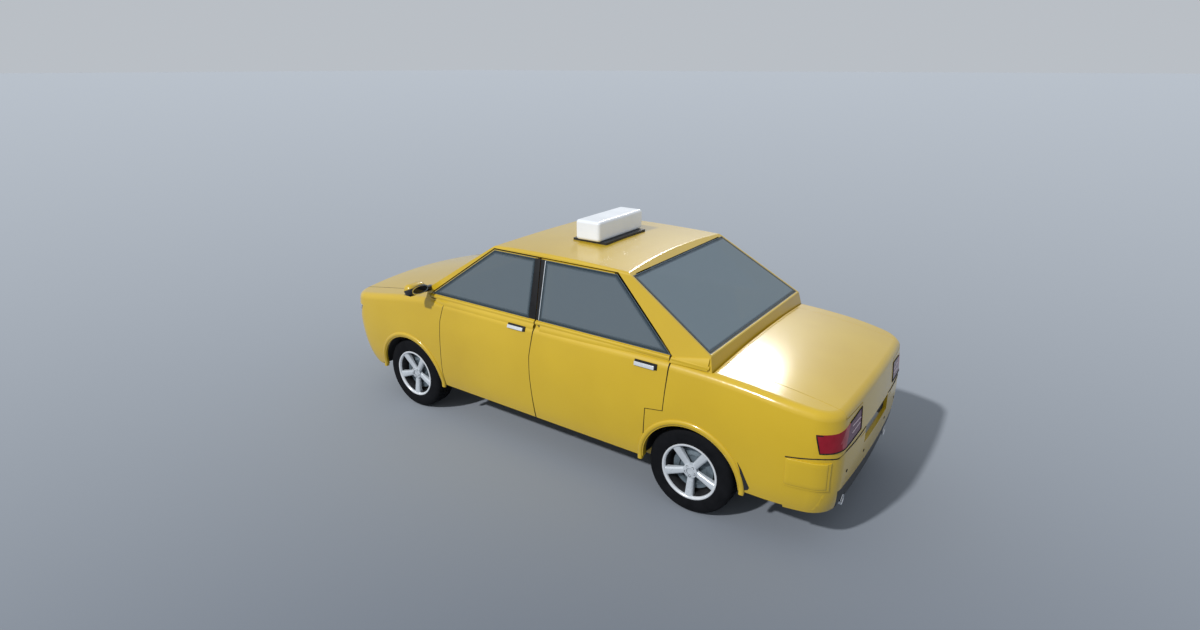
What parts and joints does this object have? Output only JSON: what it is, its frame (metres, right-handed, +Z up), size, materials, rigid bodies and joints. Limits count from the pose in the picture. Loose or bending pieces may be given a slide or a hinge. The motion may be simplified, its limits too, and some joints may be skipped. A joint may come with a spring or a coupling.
{
  "type": "taxi saloon car",
  "caption": "Four-door saloon taxi with a roof sign, hinged doors, bonnet and boot lid, steered front wheels and free-turning road wheels.",
  "frame": {"origin": "on the ground, at the middle of the overall length and width", "axes": "+X forward, +Y to the car's left, +Z up"},
  "size_m": [4.4981, 2.072, 1.795],
  "materials": {
    "body_paint": "gloss",
    "window_glass": "gloss",
    "tyre_rubber": "satin",
    "wheel_alloy": "satin",
    "cast_metal": "matte",
    "black_plastic": "matte",
    "lamp_red": "gloss",
    "lamp_clear": "gloss",
    "floor_steel": "matte",
    "bright_steel": "gloss",
    "seat_cloth": "matte",
    "sign_white": "satin"
  },
  "bodies": {
    "root": {"dashboard": "black_plastic", "engine_block": "cast_metal", "exhaust": "bright_steel", "floor_pan": "floor_steel", "front_axle": "cast_metal", "front_bumper": "body_paint", "front_frame": "floor_steel", "grille": "black_plastic", "headlamps": "lamp_clear", "left_body_side": "body_paint", "left_door_mirror": "black_plastic", "left_front_seat": "seat_cloth", "left_front_wing": "body_paint", "nose_panel": "body_paint", "parcel_shelf": "body_paint", "rear_axle": "cast_metal", "rear_bumper": "body_paint", "rear_seat": "seat_cloth", "rear_valance": "black_plastic", "rear_window": "window_glass", "right_body_side": "body_paint", "right_door_mirror": "black_plastic", "right_front_seat": "seat_cloth", "right_front_wing": "body_paint", "roof_panel": "body_paint", "scuttle": "body_paint", "tail_lamps": "lamp_red", "taxi_sign": "sign_white", "taxi_sign_base": "black_plastic", "wheel_liners": "black_plastic", "windscreen": "window_glass"},
    "left_front_door": {"left_front_door": "body_paint", "left_front_door_glass": "window_glass"},
    "right_front_door": {"right_front_door": "body_paint", "right_front_door_glass": "window_glass"},
    "left_rear_door": {"left_rear_door": "body_paint", "left_rear_door_glass": "window_glass"},
    "right_rear_door": {"right_rear_door": "body_paint", "right_rear_door_glass": "window_glass"},
    "bonnet": {"bonnet": "body_paint"},
    "boot_lid": {"boot_lid": "body_paint"},
    "left_knuckle": {"left_knuckle": "cast_metal"},
    "right_knuckle": {"right_knuckle": "cast_metal"},
    "steering_wheel": {"steering_wheel": "black_plastic"},
    "left_front_wheel": {"left_front_tyre": "tyre_rubber", "left_front_rim": "wheel_alloy"},
    "left_rear_wheel": {"left_rear_tyre": "tyre_rubber", "left_rear_rim": "wheel_alloy"},
    "right_front_wheel": {"right_front_tyre": "tyre_rubber", "right_front_rim": "wheel_alloy"},
    "right_rear_wheel": {"right_rear_tyre": "tyre_rubber", "right_rear_rim": "wheel_alloy"}
  },
  "joints": [
    {"name": "left_front_door_hinge", "type": "hinge", "parent": "root", "child": "left_front_door", "pos_m": [1.03, 0.872, 0.7], "axis": [0, 0, -1], "range_deg": [0, 65]},
    {"name": "left_rear_door_hinge", "type": "hinge", "parent": "root", "child": "left_rear_door", "pos_m": [0.04, 0.872, 0.7], "axis": [0, 0, -1], "range_deg": [0, 65]},
    {"name": "right_front_door_hinge", "type": "hinge", "parent": "root", "child": "right_front_door", "pos_m": [1.03, -0.872, 0.7], "axis": [0, 0, 1], "range_deg": [0, 65]},
    {"name": "right_rear_door_hinge", "type": "hinge", "parent": "root", "child": "right_rear_door", "pos_m": [0.04, -0.872, 0.7], "axis": [0, 0, 1], "range_deg": [0, 65]},
    {"name": "bonnet_hinge", "type": "hinge", "parent": "root", "child": "bonnet", "pos_m": [1.243, 0, 1.124], "axis": [0, -1, 0], "range_deg": [0, 55]},
    {"name": "boot_lid_hinge", "type": "hinge", "parent": "root", "child": "boot_lid", "pos_m": [-1.427, 0, 1.11], "axis": [0, 1, 0], "range_deg": [0, 70]},
    {"name": "left_steering", "type": "hinge", "parent": "root", "child": "left_knuckle", "pos_m": [1.47, 0.705, 0.317], "axis": [0, 0, 1], "range_deg": [-32, 32]},
    {"name": "right_steering", "type": "hinge", "parent": "root", "child": "right_knuckle", "pos_m": [1.47, -0.705, 0.317], "axis": [0, 0, 1], "range_deg": [-32, 32]},
    {"name": "steering_wheel_turn", "type": "hinge", "parent": "root", "child": "steering_wheel", "pos_m": [0.8, 0.36, 0.905], "axis": [-0.9135, 0, 0.4067], "range_deg": [-480, 480]},
    {"name": "left_front_wheel_spin", "type": "hinge", "parent": "left_knuckle", "child": "left_front_wheel", "pos_m": [1.47, 0.735, 0.317], "axis": [0, 1, 0], "continuous": true},
    {"name": "left_rear_wheel_spin", "type": "hinge", "parent": "root", "child": "left_rear_wheel", "pos_m": [-1.275, 0.735, 0.317], "axis": [0, 1, 0], "continuous": true},
    {"name": "right_front_wheel_spin", "type": "hinge", "parent": "right_knuckle", "child": "right_front_wheel", "pos_m": [1.47, -0.735, 0.317], "axis": [0, 1, 0], "continuous": true},
    {"name": "right_rear_wheel_spin", "type": "hinge", "parent": "root", "child": "right_rear_wheel", "pos_m": [-1.275, -0.735, 0.317], "axis": [0, 1, 0], "continuous": true}
  ],
  "couplings": [
    {"joint": "right_steering", "follows": "left_steering", "ratio": 1}
  ]
}
